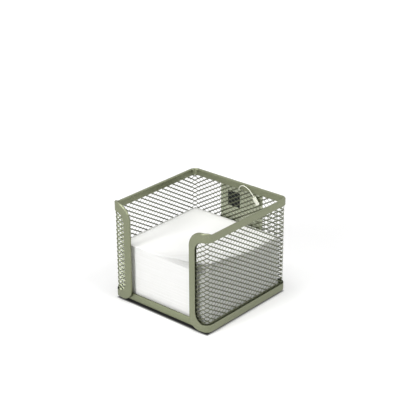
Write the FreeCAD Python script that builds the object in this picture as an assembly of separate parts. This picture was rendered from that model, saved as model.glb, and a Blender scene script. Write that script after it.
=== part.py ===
import FreeCAD, Part
import math
import os

# Memo cube holder: a box of expanded steel mesh bound in folded steel, open at the top and at the front.
# Millimetres. Origin at the middle of the plan on the desk, +Z up, finger opening towards -Y.

# Frame: the outer plan, the height of its rim above the feet, and the front strips, which rise above the rim
OUTER_WIDTH = 100.0
OUTER_DEPTH = 100.0
FRAME_HEIGHT = 82.5
BEND_RADIUS = 6.0
OPENING_WIDTH = 62.0
STRIP_TOP_RADIUS = 14.0
STRIP_BOTTOM_RADIUS = 10.0
STRIP_RISE = 1.9
STRIP_RISE_RUN = 5.5
STRIP_RISE_CLEARANCE = 0.3

# Edge binding: a steel strip folded over every edge of the mesh
BINDING_SKIN = 0.6
TOP_BAND = 5.8
SIDE_BAND = 6.4
BOTTOM_BAND = 6.8
WINDOW_RADIUS = 8.5

# Expanded mesh: diamonds with their long way level, about twice as coarse as the real sheet's
MESH_THICKNESS = 0.6
MESH_PLAY = 0.2
LONG_PITCH = 13.6
SHORT_PITCH = 8.6
STRAND_WIDTH = 1.2
BEND_FACETS = 3

# Base tray and its feet
TRAY_THICKNESS = 1.0
TRAY_FIT = 0.1
TRAY_EDGE_RADIUS = 1.6
LIP_HEIGHT = 6.9
FOOT_HEIGHT = 2.0
FOOT_SIZE = 9.0
FOOT_TAPER = 0.6
FOOT_INSET = 12.0

# Paper: a block of memo sheets, and the loose ones on it whose front right corner curls up
PAPER_CLEARANCE = 2.8
BLOCK_HEIGHT = 46.2
LOOSE_THICKNESS = 0.8
CURL_REACH = 45.0
CURL_RADIUS = 60.0
CURL_ANGLE = 12.6

# Hang tag: a card outside the back wall, on a moulded nylon pin that goes through the mesh
CARD_WIDTH = 44.0
CARD_HEIGHT = 46.0
CARD_THICKNESS = 0.4
CARD_GAP = 0.3
PIN_X = 1.3
PIN_BELOW_TOP = 7.2
PIN_HOLE_RADIUS = 1.2
PIN_HOLE_DROP = 3.7
FILAMENT_DIAMETER = 0.7
FILAMENT_SIDES = 6
FILAMENT_INSET = 3.5
FILAMENT_ARCH = ((0.7, 3.9), (4.6, 6.6), (10.4, 4.6), (14.2, 1.2), (16.2, -1.4))
FILAMENT_ARC_SHARE = 0.45
BAR_LENGTH = 9.0
BAR_THICKNESS = 0.6
BAR_HEIGHT = 1.0
BAR_PLAY = 0.2
PADDLE_WIDTH = 3.6
PADDLE_LENGTH = 7.0
PADDLE_THICKNESS = 1.0
PADDLE_CORNER_RADIUS = 0.9

# How far a cutting tool runs past what it cuts, and how far off a line an edge may lean to count as along it
CUT_MARGIN = 1.0
EDGE_ANGLE = 5.0

WALL = 2 * BINDING_SKIN + MESH_THICKNESS + 2 * MESH_PLAY
FRAME_TOP = FOOT_HEIGHT + FRAME_HEIGHT
WINDOW_LOW = FOOT_HEIGHT + BOTTOM_BAND
WINDOW_HIGH = FRAME_TOP - TOP_BAND
SHEET_EDGE = BINDING_SKIN + MESH_PLAY
FLOOR_TOP = FOOT_HEIGHT + TRAY_THICKNESS
PAPER_WIDTH = OUTER_WIDTH - 2 * (WALL + PAPER_CLEARANCE)
PAPER_DEPTH = OUTER_DEPTH - 2 * (WALL + PAPER_CLEARANCE)
BLOCK_TOP = FLOOR_TOP + BLOCK_HEIGHT
BACK_FACE = OUTER_DEPTH / 2
FRONT_FACE = -OUTER_DEPTH / 2
PIN_Z = FRAME_TOP - PIN_BELOW_TOP
RIGHTWARD = FreeCAD.Vector(1, 0, 0)
BACKWARD = FreeCAD.Vector(0, 1, 0)
UP = FreeCAD.Vector(0, 0, 1)


def vec(x, y, z):
    return FreeCAD.Vector(x, y, z)


def plan_corner(x_side, y_side, inset):
    """The corner of the frame's plan on two given sides, drawn in by inset both ways."""
    return vec(x_side * (OUTER_WIDTH / 2 - inset), y_side * (OUTER_DEPTH / 2 - inset), 0)


def edges_along(solid, direction):
    """The edges of a solid that run along a direction."""

    def is_along(edge):
        return abs(edge.tangentAt(edge.FirstParameter).dot(direction)) > math.cos(math.radians(EDGE_ANGLE))

    return [edge for edge in solid.Edges if is_along(edge)]


def plan_block(inset, low, high):
    """A block with the frame's plan drawn in by inset, its four upright corners bent round."""
    width = OUTER_WIDTH - 2 * inset
    depth = OUTER_DEPTH - 2 * inset
    block = Part.makeBox(width, depth, high - low, vec(-width / 2, -depth / 2, low))
    return block.makeFillet(BEND_RADIUS - inset, edges_along(block, UP))


def faceted_block(inset, low, high):
    """As plan_block, with each upright corner bent in a few flat steps between the mesh's strands."""
    radius = BEND_RADIUS - inset
    points = []
    for x_side, y_side, start in ((1, 1, 0), (-1, 1, 90), (-1, -1, 180), (1, -1, 270)):
        centre = plan_corner(x_side, y_side, BEND_RADIUS) + UP * low
        for step in range(BEND_FACETS + 1):
            angle = math.radians(start + 90 * step / BEND_FACETS)
            points.append(centre + vec(math.cos(angle), math.sin(angle), 0) * radius)
    return Part.Face(Part.makePolygon(points + points[:1])).extrude(UP * (high - low))


def front_gap(edge, low, high, low_radius, high_radius):
    """A prism through the front wall between the two strips, flared by the strips' round corners."""
    below = low - CUT_MARGIN
    above = high + CUT_MARGIN
    slant = math.sqrt(0.5)

    def place(x, z):
        return vec(x, FRONT_FACE - CUT_MARGIN * 2, z)

    def half(side):
        """One side of the outline, from its top to its bottom."""
        top_out = side * (edge + high_radius)
        top_mid = side * (edge + high_radius * (1 - slant))
        low_out = side * (edge + low_radius)
        low_mid = side * (edge + low_radius * (1 - slant))
        top_arc = (
            place(top_out, high),
            place(top_mid, high - high_radius * (1 - slant)),
            place(side * edge, high - high_radius),
        )
        low_arc = (
            place(side * edge, low + low_radius),
            place(low_mid, low + low_radius * (1 - slant)),
            place(low_out, low),
        )
        return [
            Part.makeLine(place(top_out, above), top_arc[0]),
            Part.Arc(*top_arc).toShape(),
            Part.makeLine(top_arc[2], low_arc[0]),
            Part.Arc(*low_arc).toShape(),
            Part.makeLine(low_arc[2], place(low_out, below)),
        ]

    lid = Part.makeLine(place(-edge - high_radius, above), place(edge + high_radius, above))
    sill = Part.makeLine(place(-edge - low_radius, below), place(edge + low_radius, below))
    outline = Part.Wire(Part.__sortEdges__(half(-1) + [sill] + half(1) + [lid]))
    return Part.Face(outline).extrude(BACKWARD * (BEND_RADIUS + CUT_MARGIN * 2))


def wrapped_sheet(block, outer, inner, side, top, bottom, top_radius, bottom_radius):
    """Sheet bent round the frame from strip to strip, between two depths in the wall.

    block gives its plan. side, top and bottom are how far its edges are drawn in from the frame's outline.
    """
    low = FOOT_HEIGHT + bottom
    high = FRAME_TOP - top
    core = block(inner, low - CUT_MARGIN, high + CUT_MARGIN)
    gap = front_gap(OPENING_WIDTH / 2 + side, low, high, bottom_radius, top_radius)
    return block(outer, low, high).cut(core).cut(gap)


def bordered_sheet(block, outer, inner, border):
    """A wrapped sheet whose outline is the frame's, drawn in evenly by border."""
    return wrapped_sheet(block, outer, inner, border, border, border,
                         STRIP_TOP_RADIUS - border, STRIP_BOTTOM_RADIUS - border)


def above_rim():
    """The space over the rim: level from the back, then an S-shaped rise over each front bend."""
    end = FRONT_FACE + WALL + STRIP_RISE_CLEARANCE
    start = end + STRIP_RISE_RUN
    radius = (STRIP_RISE_RUN ** 2 + STRIP_RISE ** 2) / (4 * STRIP_RISE)
    half_turn = math.asin(STRIP_RISE_RUN / 2 / radius) / 2
    reach = radius * math.sin(half_turn)
    lift = radius * (1 - math.cos(half_turn))
    ceiling = FRAME_TOP + STRIP_RISE + CUT_MARGIN

    def place(y, z):
        return vec(-OUTER_WIDTH / 2 - CUT_MARGIN, y, z)

    middle = place((start + end) / 2, FRAME_TOP + STRIP_RISE / 2)
    crest = place(end, FRAME_TOP + STRIP_RISE)
    foot_arc = Part.Arc(place(start, FRAME_TOP), place(start - reach, FRAME_TOP + lift), middle)
    crest_arc = Part.Arc(middle, place(end + reach, FRAME_TOP + STRIP_RISE - lift), crest)
    corners = [
        crest,
        place(end, ceiling),
        place(BACK_FACE + CUT_MARGIN, ceiling),
        place(BACK_FACE + CUT_MARGIN, FRAME_TOP),
        place(start, FRAME_TOP),
    ]
    sides = [Part.makeLine(*pair) for pair in zip(corners, corners[1:])]
    profile = Part.Wire(Part.__sortEdges__([foot_arc.toShape(), crest_arc.toShape()] + sides))
    return Part.Face(profile).extrude(RIGHTWARD * (OUTER_WIDTH + 2 * CUT_MARGIN))


def edge_binding():
    """The folded strip: the whole wall, less the groove for the mesh and the open window."""
    wall = wrapped_sheet(plan_block, 0, WALL, 0, -STRIP_RISE, 0, STRIP_TOP_RADIUS, STRIP_BOTTOM_RADIUS)
    groove = bordered_sheet(plan_block, BINDING_SKIN, WALL - BINDING_SKIN, BINDING_SKIN)
    window = wrapped_sheet(plan_block, -CUT_MARGIN, WALL + CUT_MARGIN, SIDE_BAND, TOP_BAND, BOTTOM_BAND,
                           WINDOW_RADIUS, WINDOW_RADIUS)
    return wall.cut(above_rim()).cut(groove).cut(window)


def diamond_prism(centre, along, half_width, half_height, through):
    """A diamond hole's cutter: level half width along the wall, extruded through it."""
    corners = [
        centre + along * half_width,
        centre + UP * half_height,
        centre - along * half_width,
        centre - UP * half_height,
    ]
    return Part.Face(Part.makePolygon(corners + corners[:1])).extrude(through)


def flat_panels(sheet):
    """A wrapped sheet as one panel for each flat wall, parted along the middle of every bend."""
    panels = []
    corners = ((-1, -1), (-1, 1), (1, 1), (1, -1))
    for start, end in zip(corners, corners[1:] + corners[:1]):
        outline = [
            plan_corner(*start, -CUT_MARGIN),
            plan_corner(*start, BEND_RADIUS),
            plan_corner(*end, BEND_RADIUS),
            plan_corner(*end, -CUT_MARGIN),
        ]
        wedge = Part.Face(Part.makePolygon(outline + outline[:1])).extrude(UP * FRAME_TOP)
        panels += sheet.common(wedge).Solids
    return Part.makeCompound(panels)


def mesh_wrap():
    """The expanded sheet in the binding's groove, one lattice of diamonds carried round its bends."""
    bend_run = (BEND_RADIUS - WALL / 2) * math.pi / 2
    back_run = OUTER_WIDTH - 2 * BEND_RADIUS + bend_run
    side_run = OUTER_DEPTH - 2 * BEND_RADIUS + bend_run
    back_columns = round(2 * back_run / LONG_PITCH)
    side_columns = round(2 * side_run / LONG_PITCH)
    rows = round((WINDOW_HIGH - WINDOW_LOW) / SHORT_PITCH)
    row_pitch = (WINDOW_HIGH - WINDOW_LOW) / rows
    cutters = []

    def add_column(number, pitch, middle, along, outward, half_width=None):
        """Diamonds one above another; every second column is half a row lower and hides in the binding."""
        side_slope = math.hypot(pitch, row_pitch / 2)
        shrink = 1 - STRAND_WIDTH * side_slope / (pitch * row_pitch)
        width = half_width or pitch * shrink
        for row in range(rows + number % 2):
            z = WINDOW_LOW + row_pitch * (row + 0.5 - 0.5 * (number % 2))
            start = middle + outward * CUT_MARGIN + UP * z
            through = outward * -(WALL + BEND_RADIUS)
            cutters.append(diamond_prism(start, along, width, row_pitch / 2 * shrink, through))

    def add_wall(first, columns, run, middle, along, outward):
        """The columns of one flat wall, between the middles of its two bends."""
        for step in range(1, columns):
            offset = run * (step / columns - 0.5)
            add_column(first + step, run / columns, middle + along * offset, along, outward)

    left = vec(-OUTER_WIDTH / 2, 0, 0)
    right = vec(OUTER_WIDTH / 2, 0, 0)
    back = vec(0, BACK_FACE, 0)
    back_first = side_columns
    right_first = side_columns + back_columns
    last = right_first + side_columns
    add_wall(0, side_columns, side_run, left, BACKWARD, -RIGHTWARD)
    add_wall(back_first, back_columns, back_run, back, RIGHTWARD, BACKWARD)
    add_wall(right_first, side_columns, side_run, right, -BACKWARD, RIGHTWARD)

    # One column over each bend, its width as seen along the corner's diagonal
    pitch = side_run / side_columns
    bend_share = STRAND_WIDTH * math.hypot(pitch, row_pitch / 2) / (pitch * row_pitch)
    beyond_bend = pitch * (1 - bend_share) - bend_run / 2
    seen_width = (BEND_RADIUS - WALL / 2 + beyond_bend) * math.sqrt(0.5)
    bend_inset = BEND_RADIUS * (1 - math.sqrt(0.5))
    for number, x_side, y_side in ((0, -1, -1), (back_first, -1, 1), (right_first, 1, 1), (last, 1, -1)):
        outward = vec(x_side, y_side, 0).normalize()
        middle = plan_corner(x_side, y_side, bend_inset)
        add_column(number, pitch, middle, outward.cross(UP), outward, seen_width)

    # The columns of the two front strips; the sheet's cut edge runs through the last, inside the binding
    column_x = OUTER_WIDTH / 2 - BEND_RADIUS + bend_run / 2 - pitch
    step = 1
    while column_x > OPENING_WIDTH / 2 + SHEET_EDGE:
        for x_side, number in ((-1, step), (1, last + step)):
            middle = vec(x_side * column_x, FRONT_FACE, 0)
            add_column(number, pitch, middle, RIGHTWARD, -BACKWARD)
        column_x -= pitch
        step += 1

    sheet = bordered_sheet(faceted_block, SHEET_EDGE, WALL - SHEET_EDGE, SHEET_EDGE)
    return flat_panels(sheet.cut(Part.makeCompound(cutters)))


def base_tray():
    """The floor, a folded sheet: a flange stands up along each side, with open corners between them."""
    inset = WALL + TRAY_FIT
    fold_width = OUTER_WIDTH - 2 * inset
    fold_depth = OUTER_DEPTH - 2 * inset
    flat_width = OUTER_WIDTH - 2 * BEND_RADIUS
    flat_depth = OUTER_DEPTH - 2 * BEND_RADIUS

    def centred_box(width, depth, low, high):
        return Part.makeBox(width, depth, high - low, vec(-width / 2, -depth / 2, low))

    def folded(width, depth, hollow_width, hollow_depth, fold_line):
        """A strip of floor with two flanges, bent round along the fold line under their outer faces."""
        strip = centred_box(width, depth, FOOT_HEIGHT, FOOT_HEIGHT + LIP_HEIGHT)
        folds = [edge for edge in edges_along(strip, fold_line) if edge.BoundBox.ZMax < FLOOR_TOP]
        hollow = centred_box(hollow_width, hollow_depth, FLOOR_TOP, FOOT_HEIGHT + LIP_HEIGHT + CUT_MARGIN)
        return strip.makeFillet(TRAY_EDGE_RADIUS, folds).cut(hollow)

    side_flanges = folded(fold_width, flat_depth,
                          fold_width - 2 * TRAY_THICKNESS, flat_depth + 2 * CUT_MARGIN, BACKWARD)
    end_flanges = folded(flat_width, fold_depth,
                         flat_width + 2 * CUT_MARGIN, fold_depth - 2 * TRAY_THICKNESS, RIGHTWARD)
    return side_flanges.fuse(end_flanges).removeSplitter()


def foot(x_side, y_side):
    """A square pad under the tray, narrower where it meets the desk."""
    centre = plan_corner(x_side, y_side, FOOT_INSET)

    def square(half, z):
        corners = [centre + vec(x * half, y * half, z) for x, y in ((-1, -1), (1, -1), (1, 1), (-1, 1))]
        return Part.makePolygon(corners + corners[:1])

    sections = [square(FOOT_SIZE / 2 - FOOT_TAPER, 0), square(FOOT_SIZE / 2, FOOT_HEIGHT)]
    return Part.makeLoft(sections, True, True)


def paper_block(low, high):
    """A block with the plan of the memo sheets."""
    corner = vec(-PAPER_WIDTH / 2, -PAPER_DEPTH / 2, low)
    return Part.makeBox(PAPER_WIDTH, PAPER_DEPTH, high - low, corner)


def loose_sheets():
    """The top sheets: flat on the block, then bent up towards the front right corner of the paper."""
    bend = math.radians(CURL_ANGLE)
    diagonal = math.hypot(PAPER_WIDTH, PAPER_DEPTH)
    corner = vec(PAPER_WIDTH / 2, -PAPER_DEPTH / 2, 0)
    forward = vec(1, -1, 0).normalize()
    across = vec(1, 1, 0).normalize()
    centre_z = BLOCK_TOP + CURL_RADIUS

    def place(reach, z):
        return corner + forward * (reach - CURL_REACH) + UP * z - across * diagonal

    def on_arc(radius, angle):
        return place(radius * math.sin(angle), centre_z - radius * math.cos(angle))

    def far_end(radius):
        return on_arc(radius, bend) + (forward * math.cos(bend) + UP * math.sin(bend)) * CURL_REACH

    def surface(radius):
        """One face of the sheets in section: flat, then an arc, then straight to past the corner."""
        flat = Part.makeLine(place(-diagonal, centre_z - radius), on_arc(radius, 0))
        curl = Part.Arc(on_arc(radius, 0), on_arc(radius, bend / 2), on_arc(radius, bend)).toShape()
        return [flat, curl, Part.makeLine(on_arc(radius, bend), far_end(radius))]

    top_radius = CURL_RADIUS - LOOSE_THICKNESS
    ends = [
        Part.makeLine(place(-diagonal, BLOCK_TOP), place(-diagonal, BLOCK_TOP + LOOSE_THICKNESS)),
        Part.makeLine(far_end(CURL_RADIUS), far_end(top_radius)),
    ]
    section = Part.Wire(Part.__sortEdges__(surface(CURL_RADIUS) + ends + surface(top_radius)))
    rolled = Part.Face(section).extrude(across * diagonal * 2)
    return rolled.common(paper_block(BLOCK_TOP, BLOCK_TOP + CURL_REACH))


def tag_card():
    """The card, hung by a hole near its top edge, flat against the outside of the back wall."""
    corner = vec(PIN_X - CARD_WIDTH / 2, BACK_FACE + CARD_GAP, PIN_Z + PIN_HOLE_DROP - CARD_HEIGHT)
    card = Part.makeBox(CARD_WIDTH, CARD_THICKNESS, CARD_HEIGHT, corner)
    hole = Part.makeCylinder(PIN_HOLE_RADIUS, CARD_THICKNESS + 2 * CUT_MARGIN,
                             vec(PIN_X, corner.y - CUT_MARGIN, PIN_Z), BACKWARD)
    return card.cut(hole)


def filament_points():
    """The pin's filament, from its bar through card and mesh, up over an arch and down to its paddle."""
    start_y = BACK_FACE + CARD_GAP + CARD_THICKNESS + BAR_PLAY
    inner_y = BACK_FACE - FILAMENT_INSET
    points = [vec(PIN_X, start_y, PIN_Z), vec(PIN_X, inner_y, PIN_Z)]
    return points + [vec(PIN_X + x, inner_y, PIN_Z + z) for x, z in FILAMENT_ARCH]


def filament_path(points):
    """Straight runs joined by tangent arcs, each as large as its two runs allow."""
    edges = []
    last = points[0]
    for before, corner, after in zip(points, points[1:], points[2:]):
        to_before = before - corner
        to_after = after - corner
        turn = math.pi - to_before.getAngle(to_after)
        tangent = FILAMENT_ARC_SHARE * min(to_before.Length, to_after.Length)
        radius = tangent / math.tan(turn / 2)
        print("filament bend radius", round(radius, 2), "turn", round(math.degrees(turn), 1))
        enter = corner + to_before.normalize() * tangent
        leave = corner + to_after.normalize() * tangent
        inward = (to_before + to_after).normalize()
        middle = corner + inward * (radius / math.cos(turn / 2) - radius)
        edges.append(Part.makeLine(last, enter))
        edges.append(Part.Arc(enter, middle, leave).toShape())
        last = leave
    edges.append(Part.makeLine(last, points[-1]))
    return Part.Wire(edges)


def filament():
    """The pin's thin shank, with a few flat sides, along its path."""
    points = filament_points()
    path = filament_path(points)
    corners = []
    for side in range(FILAMENT_SIDES + 1):
        angle = 2 * math.pi * side / FILAMENT_SIDES
        corners.append(points[0] + vec(math.cos(angle), 0, math.sin(angle)) * (FILAMENT_DIAMETER / 2))
    section = Part.makePolygon(corners)
    shank = path.makePipeShell([section], True, False)
    expected = path.Length * Part.Face(section).Area
    print("filament length", round(path.Length, 2), "volume ratio", round(shank.Volume / expected, 4))
    return shank


def tag_pin():
    """The tag's fastener, moulded in one: a cross bar behind the card, the filament and a flat paddle."""
    points = filament_points()
    along = (points[-1] - points[-2]).normalize()
    bar_corner = vec(PIN_X - BAR_LENGTH / 2, points[0].y, PIN_Z - BAR_HEIGHT / 2)
    bar = Part.makeBox(BAR_LENGTH, BAR_THICKNESS, BAR_HEIGHT, bar_corner)
    plate = Part.makeBox(PADDLE_WIDTH, PADDLE_THICKNESS, PADDLE_LENGTH,
                         vec(-PADDLE_WIDTH / 2, -PADDLE_THICKNESS / 2, 0))
    paddle = plate.makeFillet(PADDLE_CORNER_RADIUS, edges_along(plate, BACKWARD))
    paddle.Placement = FreeCAD.Placement(points[-1], FreeCAD.Rotation(UP, along))
    return filament().fuse([bar, paddle])


def main():
    os.makedirs("parts", exist_ok=True)
    nodes = {
        "base_tray": base_tray(),
        "edge_binding": edge_binding(),
        "mesh_wrap": mesh_wrap(),
        "memo_block": paper_block(FLOOR_TOP, BLOCK_TOP),
        "loose_sheets": loose_sheets(),
        "tag_card": tag_card(),
        "tag_pin": tag_pin(),
    }
    for y_name, y_side in (("front", -1), ("back", 1)):
        for x_name, x_side in (("left", -1), ("right", 1)):
            nodes["foot_" + y_name + "_" + x_name] = foot(x_side, y_side)
    for name, shape in nodes.items():
        shape.exportStep(os.path.join("parts", name + ".step"))
        print(name, len(shape.Solids), "solid,", round(shape.Volume, 1), "mm3, valid", shape.isValid())


main()
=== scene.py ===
import math
import random

import bmesh
import bpy
from mathutils import Matrix, Vector


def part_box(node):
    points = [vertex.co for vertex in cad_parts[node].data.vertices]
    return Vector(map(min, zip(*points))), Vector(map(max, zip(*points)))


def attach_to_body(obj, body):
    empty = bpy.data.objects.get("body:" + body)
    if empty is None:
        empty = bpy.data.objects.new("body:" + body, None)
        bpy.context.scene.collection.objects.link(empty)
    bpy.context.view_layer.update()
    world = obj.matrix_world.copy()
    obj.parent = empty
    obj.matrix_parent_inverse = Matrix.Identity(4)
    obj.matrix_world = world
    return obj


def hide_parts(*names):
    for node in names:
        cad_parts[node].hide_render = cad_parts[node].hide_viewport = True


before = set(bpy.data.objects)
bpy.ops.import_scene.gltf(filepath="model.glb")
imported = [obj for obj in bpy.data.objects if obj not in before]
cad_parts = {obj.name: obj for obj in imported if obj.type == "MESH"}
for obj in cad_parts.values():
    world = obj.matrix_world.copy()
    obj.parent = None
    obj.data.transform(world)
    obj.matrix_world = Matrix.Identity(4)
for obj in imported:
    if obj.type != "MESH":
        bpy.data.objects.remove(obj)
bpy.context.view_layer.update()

# Memo cube holder: a box of expanded steel mesh bound in folded steel, with its paper and its hang tag.
# Metres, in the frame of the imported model: +Z up, finger opening towards -Y.
MM = 0.001
FRAME_LOW, FRAME_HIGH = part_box("edge_binding")
HALF_WIDTH = FRAME_HIGH.x
HALF_DEPTH = FRAME_HIGH.y
FRAME_BOTTOM = FRAME_LOW.z
STRIP_TOP = FRAME_HIGH.z
STRIP_RISE = 1.9 * MM
STRIP_RISE_LEAD = 2.0 * MM
STRIP_RISE_RUN = 5.9 * MM
STRIP_RISE_STEPS = 3
RIM_TOP = STRIP_TOP - STRIP_RISE
SEED = 7

# Wall and binding
WALL = 2.2 * MM
BEND_RADIUS = 6.0 * MM
BEND_STEPS = 10
OPENING_HALF = 31.0 * MM
STRIP_TOP_RADIUS = 14.0 * MM
STRIP_BOTTOM_RADIUS = 10.0 * MM
TOP_BAND = 5.8 * MM
SIDE_BAND = 6.4 * MM
BOTTOM_BAND = 6.8 * MM
WINDOW_RADIUS = 8.5 * MM
CORNER_STEPS = 14
BINDING_SKIN = 0.6 * MM
GROOVE_DEPTH = 3.2 * MM
LENGTH_SLACK = 1e-7
FOLD_RADIUS = 0.95 * MM

# Expanded mesh
COLUMNS_PER_WALL = 30
ROW_PITCH = 3.844 * MM
STRAND_WIDTH = 0.96 * MM
STRAND_TILT = 0.41 * MM
GRIPPED_TILT = 0.5
STRAND_THICKNESS = 0.22 * MM
STRAND_CUTS = 3
SHEET_OVERLAP = 2.2 * MM

# Tray and feet
TRAY_THICKNESS = 1.0 * MM
TRAY_BEND_RADIUS = 1.6 * MM
TRAY_EDGE_ROUNDING = 0.25 * MM
TRAY_ROUNDED_ANGLE = math.radians(50)
FOOT_TAPER = 0.6 * MM
FOOT_CORNER_RADIUS = 1.4 * MM
FOOT_EDGE_ROUNDING = 0.3 * MM

# Paper
LAYER_MEAN = 0.85 * MM
LAYER_SPREAD = 0.6
LAYER_SHIFT = 0.07 * MM
LOOSE_SHEETS = 4
LOOSE_THICKNESS = 0.8 * MM
LOOSE_FILL = 0.9
LOOSE_SHIFT = 2 * LAYER_SHIFT
CURL_REACH = 45.0 * MM
CURL_RADIUS = 60.0 * MM
CURL_ANGLE = math.radians(12.6)
CURL_GROWTH = 1.5
LOOSE_GRID = 36

# Hang tag
CARD_CORNER_RADIUS = 1.6 * MM
PRINT_LOW = (-13.2 * MM, 59.8 * MM)
PRINT_HIGH = (-0.3 * MM, 73.2 * MM)
PIN_X = 1.3 * MM
PIN_Z = 77.3 * MM
PIN_HOLE_RADIUS = 1.2 * MM
FILAMENT_RADIUS = 0.33 * MM
FILAMENT_PLANE = 46.5 * MM
FILAMENT_ARCH = ((0.7, 3.9), (4.6, 6.6), (10.4, 4.6), (14.2, 1.2), (16.2, -1.4))
BAR_SIZE = Vector((9.0, 0.6, 1.0)) * MM
PADDLE_SIZE = Vector((3.6, 1.0, 7.0)) * MM
PIN_ROUNDING_SHARE = 0.4

# The wall unrolled: u runs along the middle of its thickness from the middle of the back, z is height
BEND_MIDDLE = BEND_RADIUS - WALL / 2
BEND_RUN = BEND_MIDDLE * math.pi / 2
BACK_HALF_RUN = HALF_WIDTH - BEND_RADIUS
SIDE_RUN = 2 * (HALF_DEPTH - BEND_RADIUS)
STRIP_RUN = HALF_WIDTH - BEND_RADIUS - OPENING_HALF
STRIP_END = BACK_HALF_RUN + BEND_RUN + SIDE_RUN + BEND_RUN + STRIP_RUN


def wrapped(u, z, depth):
    """The place of a point of the unrolled wall, depth below its outer face."""
    side = 1 if u >= 0 else -1
    run = abs(u)
    radius = BEND_RADIUS - depth
    centre_x = HALF_WIDTH - BEND_RADIUS
    centre_y = HALF_DEPTH - BEND_RADIUS
    if run <= BACK_HALF_RUN:
        return Vector((u, HALF_DEPTH - depth, z))
    run -= BACK_HALF_RUN
    if run <= BEND_RUN:
        angle = run / BEND_MIDDLE
        return Vector((side * (centre_x + radius * math.sin(angle)),
                       centre_y + radius * math.cos(angle), z))
    run -= BEND_RUN
    if run <= SIDE_RUN:
        return Vector((side * (HALF_WIDTH - depth), centre_y - run, z))
    run -= SIDE_RUN
    if run <= BEND_RUN:
        angle = run / BEND_MIDDLE
        return Vector((side * (centre_x + radius * math.cos(angle)),
                       -centre_y - radius * math.sin(angle), z))
    run -= BEND_RUN
    return Vector((side * (centre_x - run), -HALF_DEPTH + depth, z))


def wrap_round(bm):
    """Bends a flat mesh, with u along X, height along Y and depth along Z, round the frame."""
    for vert in bm.verts:
        vert.co = wrapped(vert.co.x, vert.co.y, vert.co.z)


def finished_object(name, bm, material, smooth_angle=40):
    """Turns a bmesh into an object at the origin, smooth except along its sharper edges."""
    bmesh.ops.recalc_face_normals(bm, faces=bm.faces)
    return plain_object(name, bm, material, smooth_angle)


def plain_object(name, bm, material, smooth_angle=40):
    """As finished_object, with the faces' sides left as they are."""
    mesh = bpy.data.meshes.new(name)
    bm.to_mesh(mesh)
    bm.free()
    mesh.shade_smooth()
    mesh.set_sharp_from_angle(angle=math.radians(smooth_angle))
    mesh.materials.append(material)
    piece = bpy.data.objects.new(name, mesh)
    bpy.context.scene.collection.objects.link(piece)
    return piece


def attach(piece, body, slot, *nodes):
    """The piece rides on its body and stands for its solids; its slot is not used."""
    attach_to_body(piece, body)
    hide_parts(*nodes)


# Materials
def new_material(name):
    """A node material with its shader, and Object coordinates to place its patterns."""
    material = bpy.data.materials.new(name)
    material.use_nodes = True
    nodes = material.node_tree.nodes
    shader = nodes["Principled BSDF"]
    place = nodes.new("ShaderNodeTexCoord")
    return material, nodes, material.node_tree.links, shader, place.outputs["Object"]


def noise(nodes, links, place, scale, detail=3.0, stretch=(1, 1, 1)):
    """A noise pattern's value, finer with a larger scale, stretched where it has a direction."""
    mapping = nodes.new("ShaderNodeMapping")
    mapping.inputs["Scale"].default_value = stretch
    links.new(place, mapping.inputs["Vector"])
    pattern = nodes.new("ShaderNodeTexNoise")
    pattern.inputs["Scale"].default_value = scale
    pattern.inputs["Detail"].default_value = detail
    links.new(mapping.outputs["Vector"], pattern.inputs["Vector"])
    return pattern.outputs["Fac"]


def ramp(nodes, links, value, low, high, low_at=0.3, high_at=0.7):
    """A value turned into a colour between two others."""
    colours = nodes.new("ShaderNodeValToRGB")
    colours.color_ramp.elements[0].position = low_at
    colours.color_ramp.elements[0].color = (*low, 1)
    colours.color_ramp.elements[1].position = high_at
    colours.color_ramp.elements[1].color = (*high, 1)
    links.new(value, colours.inputs["Fac"])
    return colours.outputs["Color"]


def spread(nodes, links, value, low, high):
    """A value from 0 to 1 moved to lie between two numbers."""
    moved = nodes.new("ShaderNodeMapRange")
    moved.inputs["To Min"].default_value = low
    moved.inputs["To Max"].default_value = high
    links.new(value, moved.inputs["Value"])
    return moved.outputs["Result"]


def bump(nodes, links, shader, height, strength, distance):
    """Small relief on a shader from a height pattern."""
    relief = nodes.new("ShaderNodeBump")
    relief.inputs["Strength"].default_value = strength
    relief.inputs["Distance"].default_value = distance
    links.new(height, relief.inputs["Height"])
    links.new(relief.outputs["Normal"], shader.inputs["Normal"])


def silver_paint(name, low, high, metallic, rough_low, rough_high):
    """Silver-grey paint on steel: flakes in the colour, uneven gloss and a fine orange peel."""
    material, nodes, links, shader, place = new_material(name)
    flakes = noise(nodes, links, place, 2600, 2.0)
    links.new(ramp(nodes, links, flakes, low, high), shader.inputs["Base Color"])
    gloss = noise(nodes, links, place, 140, 4.0)
    links.new(spread(nodes, links, gloss, rough_low, rough_high), shader.inputs["Roughness"])
    shader.inputs["Metallic"].default_value = metallic
    shader.inputs["Specular IOR Level"].default_value = 0.5
    peel = noise(nodes, links, place, 900, 2.0)
    bump(nodes, links, shader, peel, 0.12, 0.0002)
    return material


def paper_white(name):
    """Uncoated white paper: fibres in the surface, and the edges of single sheets as level streaks."""
    material, nodes, links, shader, place = new_material(name)
    streaks = noise(nodes, links, place, 900, 2.0, stretch=(0.02, 0.02, 1.6))
    links.new(ramp(nodes, links, streaks, (0.88, 0.88, 0.86), (0.93, 0.93, 0.92)),
              shader.inputs["Base Color"])
    shader.inputs["Roughness"].default_value = 0.92
    shader.inputs["Specular IOR Level"].default_value = 0.25
    fibres = noise(nodes, links, place, 1500, 4.0)
    bump(nodes, links, shader, fibres, 0.15, 0.0001)
    return material


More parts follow.
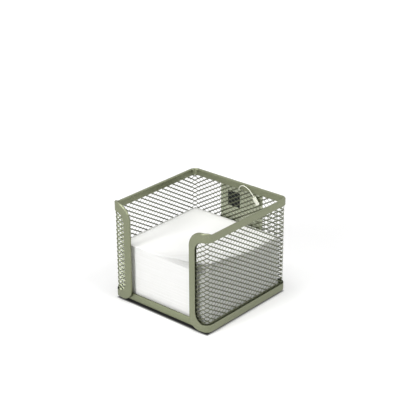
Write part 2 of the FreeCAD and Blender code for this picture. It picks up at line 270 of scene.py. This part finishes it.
def printed_card(name, low, high):
    """Plain grey card with a dark square printed between two corners, given as X and Z."""
    material, nodes, links, shader, place = new_material(name)
    axes = nodes.new("ShaderNodeSeparateXYZ")
    links.new(place, axes.inputs["Vector"])
    inside = None
    for axis, start, end in (("X", low[0], high[0]), ("Z", low[1], high[1])):
        for limit, operation in ((start, "GREATER_THAN"), (end, "LESS_THAN")):
            test = nodes.new("ShaderNodeMath")
            test.operation = operation
            test.inputs[1].default_value = limit
            links.new(axes.outputs[axis], test.inputs[0])
            if inside is None:
                inside = test.outputs["Value"]
                continue
            both = nodes.new("ShaderNodeMath")
            both.operation = "MULTIPLY"
            links.new(inside, both.inputs[0])
            links.new(test.outputs["Value"], both.inputs[1])
            inside = both.outputs["Value"]
    fibres = noise(nodes, links, place, 700, 5.0)
    card = ramp(nodes, links, fibres, (0.70, 0.73, 0.56), (0.80, 0.83, 0.66))
    ink = ramp(nodes, links, fibres, (0.014, 0.016, 0.016), (0.03, 0.033, 0.034))
    print_mix = nodes.new("ShaderNodeMix")
    print_mix.data_type = "RGBA"
    links.new(inside, print_mix.inputs["Factor"])
    links.new(card, print_mix.inputs["A"])
    links.new(ink, print_mix.inputs["B"])
    links.new(print_mix.outputs["Result"], shader.inputs["Base Color"])
    shader.inputs["Roughness"].default_value = 0.75
    bump(nodes, links, shader, fibres, 0.1, 0.0001)
    return material


def milky_nylon(name):
    """Moulded nylon: milky, slightly uneven in tint and gloss."""
    material, nodes, links, shader, place = new_material(name)
    cloud = noise(nodes, links, place, 420, 3.0)
    links.new(ramp(nodes, links, cloud, (0.80, 0.81, 0.66), (0.93, 0.94, 0.84)),
              shader.inputs["Base Color"])
    links.new(spread(nodes, links, cloud, 0.3, 0.45), shader.inputs["Roughness"])
    bump(nodes, links, shader, cloud, 0.08, 0.0001)
    return material


def black_rubber(name):
    """Matt black rubber with a fine grain."""
    material, nodes, links, shader, place = new_material(name)
    grain = noise(nodes, links, place, 1800, 3.0)
    links.new(ramp(nodes, links, grain, (0.012, 0.012, 0.012), (0.035, 0.035, 0.034)),
              shader.inputs["Base Color"])
    links.new(spread(nodes, links, grain, 0.7, 0.9), shader.inputs["Roughness"])
    bump(nodes, links, shader, grain, 0.25, 0.0002)
    return material


# Edge binding
def binding_stations():
    """Pairs of unrolled points round the frame, on the fold and on the window's edge beside it."""
    window_end = STRIP_END - SIDE_BAND
    window_top = RIM_TOP - TOP_BAND
    window_bottom = FRAME_BOTTOM + BOTTOM_BAND
    runs = [0.0, BACK_HALF_RUN]
    runs += [BACK_HALF_RUN + BEND_RUN * step / BEND_STEPS for step in range(1, BEND_STEPS + 1)]
    side_end = BACK_HALF_RUN + BEND_RUN + SIDE_RUN
    rise_start = side_end - STRIP_RISE_LEAD
    runs += [rise_start + STRIP_RISE_LEAD * step / STRIP_RISE_STEPS for step in range(STRIP_RISE_STEPS)]
    front_runs = [side_end + BEND_RUN * step / BEND_STEPS for step in range(BEND_STEPS + 1)]

    def rim_level(u):
        """The top edge: level round the back, then an S-shaped rise towards the front bend."""
        share = max(0.0, min(1.0, (u - rise_start) / STRIP_RISE_RUN))
        return RIM_TOP + STRIP_RISE * (2 * share ** 2 if share < 0.5 else 1 - 2 * (1 - share) ** 2)

    def corner(fold_radius, level, window_level, direction):
        """A strip's round corner: level is the frame's edge, direction points from it into the wall."""
        pairs = []
        for step in range(CORNER_STEPS + 1):
            angle = math.pi / 2 * step / CORNER_STEPS
            along, across = math.sin(angle), math.cos(angle)
            pairs.append((
                (STRIP_END - fold_radius * (1 - along), level + direction * fold_radius * (1 - across)),
                (window_end - WINDOW_RADIUS * (1 - along),
                 window_level + direction * WINDOW_RADIUS * (1 - across)),
            ))
        return pairs

    def straight(level, window_level, corner_start):
        return [((u, level(u)), (u, window_level)) for u in runs + front_runs if u < corner_start]

    top_start = STRIP_END - max(STRIP_TOP_RADIUS, SIDE_BAND + WINDOW_RADIUS)
    bottom_start = STRIP_END - max(STRIP_BOTTOM_RADIUS, SIDE_BAND + WINDOW_RADIUS)
    half = straight(rim_level, window_top, top_start)
    half += corner(STRIP_TOP_RADIUS, STRIP_TOP, window_top, -1)
    half += corner(STRIP_BOTTOM_RADIUS, FRAME_BOTTOM, window_bottom, 1)[::-1]
    half += straight(lambda u: FRAME_BOTTOM, window_bottom, bottom_start)[::-1]
    mirrored = [((-fold[0], fold[1]), (-edge[0], edge[1])) for fold, edge in half]
    return half + mirrored[-2:0:-1]


def edge_binding(material):
    """The folded strip: a ring as wide as the bands and as thick as the wall, grooved for the mesh."""
    stations = binding_stations()
    bm = bmesh.new()
    fold = [bm.verts.new((u, z, 0)) for (u, z), _ in stations]
    window_place = {vert: Vector((u, z, 0)) for vert, (_, (u, z)) in zip(fold, stations)}
    fold_edges = [bm.edges.new(pair) for pair in zip(fold, fold[1:] + fold[:1])]
    ring = bmesh.ops.extrude_edge_only(bm, edges=fold_edges)["geom"]
    for vert in (item for item in ring if isinstance(item, bmesh.types.BMVert)):
        partner = next(edge.other_vert(vert) for edge in vert.link_edges
                       if edge.other_vert(vert) in window_place)
        vert.co = window_place[partner]
    outer_faces = bm.faces[:]
    fold_line = set(fold)
    deep = bmesh.ops.extrude_face_region(bm, geom=outer_faces)["geom"]
    deep_verts = [item for item in deep if isinstance(item, bmesh.types.BMVert)]
    bmesh.ops.translate(bm, verts=deep_verts, vec=(0, 0, WALL))
    bmesh.ops.recalc_face_normals(bm, faces=bm.faces)

    def near_fold(vert):
        return vert in fold_line or any(edge.other_vert(vert) in fold_line for edge in vert.link_edges
                                        if abs(edge.calc_length() - WALL) < LENGTH_SLACK)

    outer_verts = {vert for vert in bm.verts if near_fold(vert)}
    lip_faces = [face for face in bm.faces
                 if abs(face.normal.z) < 0.5 and not any(vert in outer_verts for vert in face.verts)]
    bmesh.ops.inset_region(bm, faces=lip_faces, thickness=BINDING_SKIN, depth=-GROOVE_DEPTH,
                           use_even_offset=True, use_boundary=True)
    fold_edges = [edge for edge in bm.edges
                  if all(vert in outer_verts for vert in edge.verts)
                  and abs(edge.verts[0].co.z - edge.verts[1].co.z) < WALL / 2]
    bmesh.ops.bevel(bm, geom=fold_edges, offset=FOLD_RADIUS, segments=5, profile=0.5,
                    affect="EDGES", material=-1)
    wrap_round(bm)
    return finished_object("binding", bm, material)


# Expanded mesh
def beyond_window(u, z):
    """How far an unrolled point lies outside the window's round-cornered outline, negative inside."""
    half_run = STRIP_END - SIDE_BAND
    low = FRAME_BOTTOM + BOTTOM_BAND
    high = RIM_TOP - TOP_BAND
    dx = abs(u) - (half_run - WINDOW_RADIUS)
    dz = abs(z - (low + high) / 2) - ((high - low) / 2 - WINDOW_RADIUS)
    return math.hypot(max(dx, 0), max(dz, 0)) + min(max(dx, dz), 0) - WINDOW_RADIUS


def connected_faces(start):
    """Every face that hangs together with a first one."""
    found = {start}
    waiting = [start]
    while waiting:
        for edge in waiting.pop().edges:
            for face in edge.link_faces:
                if face not in found:
                    found.add(face)
                    waiting.append(face)
    return found


def lean_side(u):
    """Which way the strands lean: 1 on the right wall and its strip, -1 beyond the back right bend."""
    return max(-1.0, min(1.0, 2 * (u - BACK_HALF_RUN) / BEND_RUN - 1))


def mesh_sheet(material):
    """One expanded sheet: a lattice of diamonds whose strands lean like louvres, bent round the frame."""
    column = (2 * BACK_HALF_RUN + BEND_RUN) / COLUMNS_PER_WALL
    cells = math.ceil(STRIP_END / column + 2 * (PIN_Z - FRAME_BOTTOM) / ROW_PITCH) + 2
    bm = bmesh.new()
    bmesh.ops.create_grid(bm, x_segments=cells, y_segments=cells, size=cells / 2)
    turn = Matrix.Rotation(math.radians(45), 4, "Z")
    diagonal = math.sqrt(2)
    stretch = Matrix.Diagonal((2 * column / diagonal, ROW_PITCH / diagonal, 1, 1))
    bmesh.ops.transform(bm, matrix=stretch @ turn, verts=bm.verts)

    # A diamond's middle lies over the pin that goes through the back wall
    nearest = min((face.calc_center_median() for face in bm.faces), key=lambda middle: middle.length)
    bmesh.ops.translate(bm, verts=bm.verts, vec=(-nearest.x, PIN_Z - nearest.y, 0))
    outside = [face for face in bm.faces
               if beyond_window(*face.calc_center_median().xy) > SHEET_OVERLAP + column]
    bmesh.ops.delete(bm, geom=outside, context="FACES")

    # Strands: a border inside every diamond, whose opening is then cut out
    lean = bm.verts.layers.float.new("lean")
    holes = bm.faces[:]
    knots = set(bm.verts)
    bmesh.ops.inset_individual(bm, faces=holes, thickness=STRAND_WIDTH / 2, use_even_offset=True)
    for hole in holes:
        middle = hole.calc_center_median().y
        half_height = max(vert.co.y for vert in hole.verts) - middle
        for vert in hole.verts:
            vert[lean] = (vert.co.y - middle) / half_height
    bmesh.ops.delete(bm, geom=holes, context="FACES_ONLY")
    along_strands = [edge for edge in bm.edges if (edge.verts[0] in knots) == (edge.verts[1] in knots)]
    bmesh.ops.subdivide_edges(bm, edges=along_strands, cuts=STRAND_CUTS)
    hidden = [face for face in bm.faces
              if beyond_window(*face.calc_center_median().xy) > SHEET_OVERLAP]
    bmesh.ops.delete(bm, geom=hidden, context="FACES")
    back_middle = Vector((0, RIM_TOP / 2, 0))
    first = min(bm.faces, key=lambda face: (face.calc_center_median() - back_middle).length)
    kept = connected_faces(first)
    loose = [face for face in bm.faces if face not in kept]
    bmesh.ops.delete(bm, geom=loose, context="FACES")

    # Louvres: each strand leans through the sheet's thickness, flatter where the binding grips it
    for vert in bm.verts:
        share = max(-1.0, min(1.0, vert[lean] * (STRAND_CUTS + 1)))
        grip = GRIPPED_TILT if beyond_window(vert.co.x, vert.co.y) > 0 else 1.0
        vert.co.z = WALL / 2 + STRAND_TILT * share * grip * lean_side(vert.co.x)
    bmesh.ops.solidify(bm, geom=bm.faces[:], thickness=STRAND_THICKNESS)
    middle = sum(vert.co.z for vert in bm.verts) / len(bm.verts)
    bmesh.ops.translate(bm, verts=bm.verts, vec=(0, 0, WALL / 2 - middle))
    wrap_round(bm)
    return finished_object("mesh_sheet", bm, material, smooth_angle=25)


# Base tray and feet
def base_tray(material):
    """The folded floor: a flange stands up along each side, with open corners between them."""
    low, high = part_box("base_tray")
    flat = HALF_WIDTH - BEND_RADIUS
    bm = bmesh.new()
    bmesh.ops.create_grid(bm, x_segments=1, y_segments=1, size=flat)
    bmesh.ops.translate(bm, verts=bm.verts, vec=(0, 0, low.z))
    folds = []
    for edge in bm.edges[:]:
        middle = (edge.verts[0].co + edge.verts[1].co) / 2
        outward = Vector((middle.x, middle.y, 0)).normalized()
        margin = bmesh.ops.extrude_edge_only(bm, edges=[edge])["geom"]
        verts = [item for item in margin if isinstance(item, bmesh.types.BMVert)]
        bmesh.ops.translate(bm, verts=verts, vec=outward * (high.x - flat))
        fold = next(item for item in margin if isinstance(item, bmesh.types.BMEdge)
                    and all(vert in verts for vert in item.verts))
        flange = bmesh.ops.extrude_edge_only(bm, edges=[fold])["geom"]
        verts = [item for item in flange if isinstance(item, bmesh.types.BMVert)]
        bmesh.ops.translate(bm, verts=verts, vec=(0, 0, high.z - low.z))
        folds.append(fold)
    bmesh.ops.bevel(bm, geom=folds, offset=TRAY_BEND_RADIUS, segments=5, profile=0.5,
                    affect="EDGES", material=-1)
    bmesh.ops.recalc_face_normals(bm, faces=bm.faces)
    floor_face = min(bm.faces, key=lambda face: face.calc_center_median().xy.length)
    if floor_face.normal.z > 0:
        bmesh.ops.reverse_faces(bm, faces=bm.faces)
    piece = plain_object("tray", bm, material)
    thickness = piece.modifiers.new("thickness", "SOLIDIFY")
    thickness.thickness = TRAY_THICKNESS
    thickness.offset = -1
    rounding = piece.modifiers.new("rounding", "BEVEL")
    rounding.width = TRAY_EDGE_ROUNDING
    rounding.segments = 2
    rounding.angle_limit = TRAY_ROUNDED_ANGLE
    return piece


def foot(node, material):
    """A square rubber pad, narrower at the desk, with soft corners."""
    low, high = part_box(node)
    size = high - low
    bm = bmesh.new()
    middle = (low + high) / 2
    bmesh.ops.create_cube(bm, size=1, matrix=Matrix.Translation(middle) @ Matrix.Diagonal((*size, 1)))
    under = [vert for vert in bm.verts if vert.co.z < middle.z]
    for vert in under:
        vert.co.x -= math.copysign(FOOT_TAPER, vert.co.x - middle.x)
        vert.co.y -= math.copysign(FOOT_TAPER, vert.co.y - middle.y)
    upright = [edge for edge in bm.edges if abs(edge.verts[0].co.z - edge.verts[1].co.z) > size.z / 2]
    bmesh.ops.bevel(bm, geom=upright, offset=FOOT_CORNER_RADIUS, segments=5, profile=0.5,
                    affect="EDGES", material=-1)
    rim = [edge for edge in bm.edges if all(vert.co.z < low.z + size.z / 4 for vert in edge.verts)]
    bmesh.ops.bevel(bm, geom=rim, offset=FOOT_EDGE_ROUNDING, segments=3, profile=0.5,
                    affect="EDGES", material=-1)
    return finished_object(node.replace("foot", "pad"), bm, material)


# Paper
def memo_stack(material):
    """The block of sheets, a few together in each layer, none quite in line with the next."""
    low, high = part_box("memo_block")
    chance = random.Random(SEED)
    bm = bmesh.new()
    bottom = low.z
    while bottom < high.z:
        top = bottom + LAYER_MEAN * chance.uniform(1 - LAYER_SPREAD, 1 + LAYER_SPREAD)
        if high.z - top < LAYER_MEAN / 2:
            top = high.z
        shift = Vector((chance.uniform(-1, 1), chance.uniform(-1, 1), 0)) * LAYER_SHIFT
        size = Vector((high.x - low.x - 2 * LAYER_SHIFT, high.y - low.y - 2 * LAYER_SHIFT, top - bottom))
        middle = Vector(((low.x + high.x) / 2, (low.y + high.y) / 2, (top + bottom) / 2)) + shift
        bmesh.ops.create_cube(bm, size=1, matrix=Matrix.Translation(middle) @ Matrix.Diagonal((*size, 1)))
        bottom = top
    return finished_object("memo_stack", bm, material)


def loose_sheets(material):
    """The top sheets, each curled up a little further at the front right corner than the one below."""
    low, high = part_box("loose_sheets")
    thickness = LOOSE_THICKNESS / LOOSE_SHEETS
    chance = random.Random(SEED + 1)
    corner = Vector((high.x, low.y))
    bend_end = CURL_RADIUS * math.sin(CURL_ANGLE)

    def rise(x, y):
        """Height of the fullest curl above the flat sheet, bent along the paper's diagonal."""
        reach = CURL_REACH - (corner.x - x + y - corner.y) / math.sqrt(2)
        if reach <= 0:
            return 0.0
        if reach <= bend_end:
            return CURL_RADIUS - math.sqrt(CURL_RADIUS ** 2 - reach ** 2)
        return CURL_RADIUS * (1 - math.cos(CURL_ANGLE)) + (reach - bend_end) * math.tan(CURL_ANGLE)

    bm = bmesh.new()
    for number in range(LOOSE_SHEETS):
        share = ((number + 1) / LOOSE_SHEETS) ** CURL_GROWTH
        shift = Vector((chance.uniform(-1, 0), chance.uniform(0, 1), 0)) * LOOSE_SHIFT
        sheet = bmesh.ops.create_grid(bm, x_segments=LOOSE_GRID, y_segments=LOOSE_GRID, size=0.5)["verts"]
        width = high.x - low.x - 2 * LAYER_SHIFT
        bmesh.ops.scale(bm, verts=sheet, vec=(width, width, 1))
        bmesh.ops.translate(bm, verts=sheet, vec=shift)
        for vert in sheet:
            vert.co.z = low.z + thickness * (number + 0.5) + rise(vert.co.x, vert.co.y) * share
    piece = plain_object("curled_sheets", bm, material)
    body = piece.modifiers.new("thickness", "SOLIDIFY")
    body.thickness = thickness * LOOSE_FILL
    body.offset = 0
    return piece


# Hang tag
def tag_card(material):
    """The card, with round corners and a hole for the pin."""
    low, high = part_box("tag_card")
    bm = bmesh.new()
    corners = ((low.x, low.z), (high.x, low.z), (high.x, high.z), (low.x, high.z))
    outline = [bm.verts.new((x, low.y, z)) for x, z in corners]
    bm.faces.new(outline)
    bmesh.ops.bevel(bm, geom=outline, offset=CARD_CORNER_RADIUS, segments=5, profile=0.5,
                    affect="VERTICES", material=-1)
    bmesh.ops.delete(bm, geom=bm.faces[:], context="FACES_ONLY")
    turn = Matrix.Translation((PIN_X, low.y, PIN_Z)) @ Matrix.Rotation(math.pi / 2, 4, "X")
    bmesh.ops.create_circle(bm, segments=20, radius=PIN_HOLE_RADIUS, matrix=turn)
    bmesh.ops.triangle_fill(bm, edges=bm.edges[:], use_beauty=True)
    back = bmesh.ops.extrude_face_region(bm, geom=bm.faces[:])["geom"]
    back_verts = [item for item in back if isinstance(item, bmesh.types.BMVert)]
    bmesh.ops.translate(bm, verts=back_verts, vec=(0, high.y - low.y, 0))
    return finished_object("hang_card", bm, material)


def filament_mesh(points):
    """A thin round thread along a smooth curve near its points."""
    curve = bpy.data.curves.new("thread", "CURVE")
    curve.dimensions = "3D"
    spline = curve.splines.new("NURBS")
    spline.points.add(len(points) - 1)
    for knot, point in zip(spline.points, points):
        knot.co = (*point, 1)
    spline.order_u = 3
    spline.use_endpoint_u = True
    curve.resolution_u = 6
    curve.bevel_depth = FILAMENT_RADIUS
    curve.bevel_resolution = 2
    curve.use_fill_caps = True
    thread = bpy.data.objects.new("thread", curve)
    mesh = bpy.data.meshes.new_from_object(thread)
    bpy.data.objects.remove(thread)
    return mesh


def tag_pin(material):
    """The nylon pin: a cross bar behind the card, the thread through card and mesh, and a flat paddle."""
    _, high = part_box("tag_pin")
    bar_front = high.y - BAR_SIZE.y
    points = [Vector((PIN_X, bar_front, PIN_Z)), Vector((PIN_X, FILAMENT_PLANE, PIN_Z))]
    points += [Vector((PIN_X + x * MM, FILAMENT_PLANE, PIN_Z + z * MM)) for x, z in FILAMENT_ARCH]
    bm = bmesh.new()
    bm.from_mesh(filament_mesh(points))

    def rounded_block(size, place):
        block = bmesh.ops.create_cube(bm, size=1, matrix=place @ Matrix.Diagonal((*size, 1)))["verts"]
        edges = {edge for vert in block for edge in vert.link_edges}
        bmesh.ops.bevel(bm, geom=list(edges), offset=size.y * PIN_ROUNDING_SHARE, segments=3, profile=0.5,
                        affect="EDGES", material=-1)

    rounded_block(BAR_SIZE, Matrix.Translation((PIN_X, high.y - BAR_SIZE.y / 2, PIN_Z)))
    along = (points[-1] - points[-2]).normalized()
    turn = Vector((0, 0, 1)).rotation_difference(along).to_matrix().to_4x4()
    middle = points[-1] + along * PADDLE_SIZE.z / 2
    rounded_block(PADDLE_SIZE, Matrix.Translation(middle) @ turn)
    return finished_object("nylon_pin", bm, material)


# Studio
CAMERA_AZIMUTH = math.radians(41.038)
CAMERA_ELEVATION = math.radians(23.727)
CAMERA_ROLL = math.radians(-0.285)
CAMERA_DISTANCE = 950.73 * MM
CAMERA_TARGET = Vector((-0.456, 0, 84.282)) * MM
CAMERA_FOCUS_PX = 1194.9
PICTURE_PX = 400
SENSOR_MM = 36
LAMP_AIM = (0, 0, 0.04)
# Painted contact shade: the floor's dark colour under the holder's plan
PAINTED_CONTACT_SHADE = (0.08, 0.08, 0.08, 1)
UNDER_HOLDER_EDGE = 3 * MM
GLOW_GROWS_FROM = 0.15
GLOW_GROWS_TO = 1.0


def camera():
    """The camera at the photograph's viewing angle."""
    data = bpy.data.cameras.new("camera")
    data.sensor_width = SENSOR_MM
    data.lens = CAMERA_FOCUS_PX / PICTURE_PX * SENSOR_MM
    level = math.cos(CAMERA_ELEVATION)
    back = Vector((math.sin(CAMERA_AZIMUTH) * level, -math.cos(CAMERA_AZIMUTH) * level,
                   math.sin(CAMERA_ELEVATION)))
    right = Vector((math.cos(CAMERA_AZIMUTH), math.sin(CAMERA_AZIMUTH), 0))
    up = back.cross(right)
    turned_right = right * math.cos(CAMERA_ROLL) + up * math.sin(CAMERA_ROLL)
    turned_up = up * math.cos(CAMERA_ROLL) - right * math.sin(CAMERA_ROLL)
    turn = Matrix((turned_right, turned_up, back)).transposed().to_4x4()
    eye = bpy.data.objects.new("camera", data)
    eye.matrix_world = Matrix.Translation(CAMERA_TARGET + back * CAMERA_DISTANCE) @ turn
    bpy.context.scene.collection.objects.link(eye)
    bpy.context.scene.camera = eye


def softbox(name, place, size, power):
    """A square lamp at a place, turned to the object."""
    data = bpy.data.lights.new(name, "AREA")
    data.shape = "SQUARE"
    data.size = size
    data.energy = power
    lamp = bpy.data.objects.new(name, data)
    lamp.location = place
    lamp.rotation_euler = (Vector(LAMP_AIM) - Vector(place)).to_track_quat("-Z", "Y").to_euler()
    bpy.context.scene.collection.objects.link(lamp)


def seen_or_mirrored(nodes, links):
    """1 on rays from the camera, from gloss and through clear things, 0 on rays that only carry light."""
    path = nodes.new("ShaderNodeLightPath")
    either = nodes.new("ShaderNodeMath")
    either.operation = "MAXIMUM"
    links.new(path.outputs["Is Camera Ray"], either.inputs[0])
    links.new(path.outputs["Is Glossy Ray"], either.inputs[1])
    any_of = nodes.new("ShaderNodeMath")
    any_of.operation = "MAXIMUM"
    links.new(either.outputs["Value"], any_of.inputs[0])
    links.new(path.outputs["Is Transmission Ray"], any_of.inputs[1])
    return any_of.outputs["Value"]


def white_surroundings(light_strength):
    """A world that looks white and lights the object softly."""
    world = bpy.data.worlds.new("surroundings")
    bpy.context.scene.world = world
    world.use_nodes = True
    nodes, links = world.node_tree.nodes, world.node_tree.links
    background = nodes["Background"]
    background.inputs["Color"].default_value = (1, 1, 1, 1)
    links.new(spread(nodes, links, seen_or_mirrored(nodes, links), light_strength, 1.0),
              background.inputs["Strength"])


def pale_floor(size, near_glow, far_glow):
    """A pale floor that looks white in the open; under the holder its colour is painted dark, a painted
    contact shade added to the real shadow there.
    """
    bm = bmesh.new()
    bmesh.ops.create_grid(bm, x_segments=1, y_segments=1, size=size / 2)
    material, nodes, links, shader, place = new_material("pale_floor")
    tone = noise(nodes, links, place, 3, 2.0)
    pale = ramp(nodes, links, tone, (0.79, 0.79, 0.79), (0.81, 0.81, 0.81))
    shader.inputs["Roughness"].default_value = 0.9
    shader.inputs["Specular IOR Level"].default_value = 0.0
    shader.inputs["Emission Color"].default_value = (1, 1, 1, 1)

    # Under the holder's plan the floor's colour is painted dark, a painted contact shade, and its own
    # white is off; the pale colour and its own white start outside the plan
    axes = nodes.new("ShaderNodeSeparateXYZ")
    links.new(place, axes.inputs["Vector"])
    reach = None
    for axis in "XY":
        away = nodes.new("ShaderNodeMath")
        away.operation = "ABSOLUTE"
        links.new(axes.outputs[axis], away.inputs[0])
        if reach is None:
            reach = away.outputs["Value"]
            continue
        larger = nodes.new("ShaderNodeMath")
        larger.operation = "MAXIMUM"
        links.new(reach, larger.inputs[0])
        links.new(away.outputs["Value"], larger.inputs[1])
        reach = larger.outputs["Value"]
    open_floor = nodes.new("ShaderNodeMapRange")
    open_floor.interpolation_type = "SMOOTHSTEP"
    open_floor.inputs["From Min"].default_value = HALF_WIDTH - UNDER_HOLDER_EDGE
    open_floor.inputs["From Max"].default_value = HALF_WIDTH
    links.new(reach, open_floor.inputs["Value"])
    # Painted contact shade: the floor's colour turns dark under the holder's plan
    colour = nodes.new("ShaderNodeMix")
    colour.data_type = "RGBA"
    links.new(open_floor.outputs["Result"], colour.inputs["Factor"])
    colour.inputs["A"].default_value = PAINTED_CONTACT_SHADE
    links.new(pale, colour.inputs["B"])
    links.new(colour.outputs["Result"], shader.inputs["Base Color"])
    open_glow = nodes.new("ShaderNodeMath")
    open_glow.operation = "MULTIPLY"
    links.new(seen_or_mirrored(nodes, links), open_glow.inputs[0])
    links.new(open_floor.outputs["Result"], open_glow.inputs[1])

    # Its own white makes up for the lamps' light, which falls off with distance
    from_middle = nodes.new("ShaderNodeVectorMath")
    from_middle.operation = "LENGTH"
    links.new(place, from_middle.inputs[0])
    growth = nodes.new("ShaderNodeMapRange")
    growth.inputs["From Min"].default_value = GLOW_GROWS_FROM
    growth.inputs["From Max"].default_value = GLOW_GROWS_TO
    growth.inputs["To Min"].default_value = near_glow
    growth.inputs["To Max"].default_value = far_glow
    links.new(from_middle.outputs["Value"], growth.inputs["Value"])
    glow = nodes.new("ShaderNodeMath")
    glow.operation = "MULTIPLY"
    links.new(open_glow.outputs["Value"], glow.inputs[0])
    links.new(growth.outputs["Result"], glow.inputs[1])
    links.new(glow.outputs["Value"], shader.inputs["Emission Strength"])
    plain_object("floor", bm, material)


def build():
    """Every piece of the holder, and the studio round it."""
    bpy.context.scene.view_settings.view_transform = "Standard"
    binding_paint = silver_paint("binding_paint", low=(0.18, 0.195, 0.12), high=(0.26, 0.275, 0.185),
                                 metallic=0.75, rough_low=0.30, rough_high=0.42)
    tray_paint = silver_paint("tray_paint", low=(0.18, 0.20, 0.12), high=(0.26, 0.28, 0.18),
                              metallic=0.75, rough_low=0.30, rough_high=0.42)
    mesh_paint = silver_paint("mesh_paint", low=(0.16, 0.175, 0.115), high=(0.24, 0.255, 0.175),
                              metallic=0.75, rough_low=0.32, rough_high=0.40)
    paper = paper_white("memo_paper")
    rubber = black_rubber("pad_rubber")
    card = printed_card("printed_card", PRINT_LOW, PRINT_HIGH)
    nylon = milky_nylon("pin_nylon")

    attach(edge_binding(binding_paint), "holder", "binding_paint", "edge_binding")
    attach(mesh_sheet(mesh_paint), "holder", "mesh_paint", "mesh_wrap")
    attach(base_tray(tray_paint), "holder", "tray_paint", "base_tray")
    for node in ("foot_front_left", "foot_front_right", "foot_back_left", "foot_back_right"):
        attach(foot(node, rubber), "holder", "foot_rubber", node)
    attach(memo_stack(paper), "memo_stack", "memo_paper", "memo_block")
    attach(loose_sheets(paper), "top_sheets", "memo_paper", "loose_sheets")
    attach(tag_card(card), "tag", "tag_card", "tag_card")
    attach(tag_pin(nylon), "holder", "tag_nylon", "tag_pin")

    camera()
    white_surroundings(light_strength=0.10)
    pale_floor(size=2.8, near_glow=0.30, far_glow=0.80)
    softbox("key", place=(-0.16, -1.15, 0.52), size=0.34, power=7.8)
    softbox("overhead", place=(0.0, -0.18, 1.2), size=0.70, power=8.4)
    softbox("side", place=(0.96, 0.10, 0.85), size=0.46, power=7.0)


build()
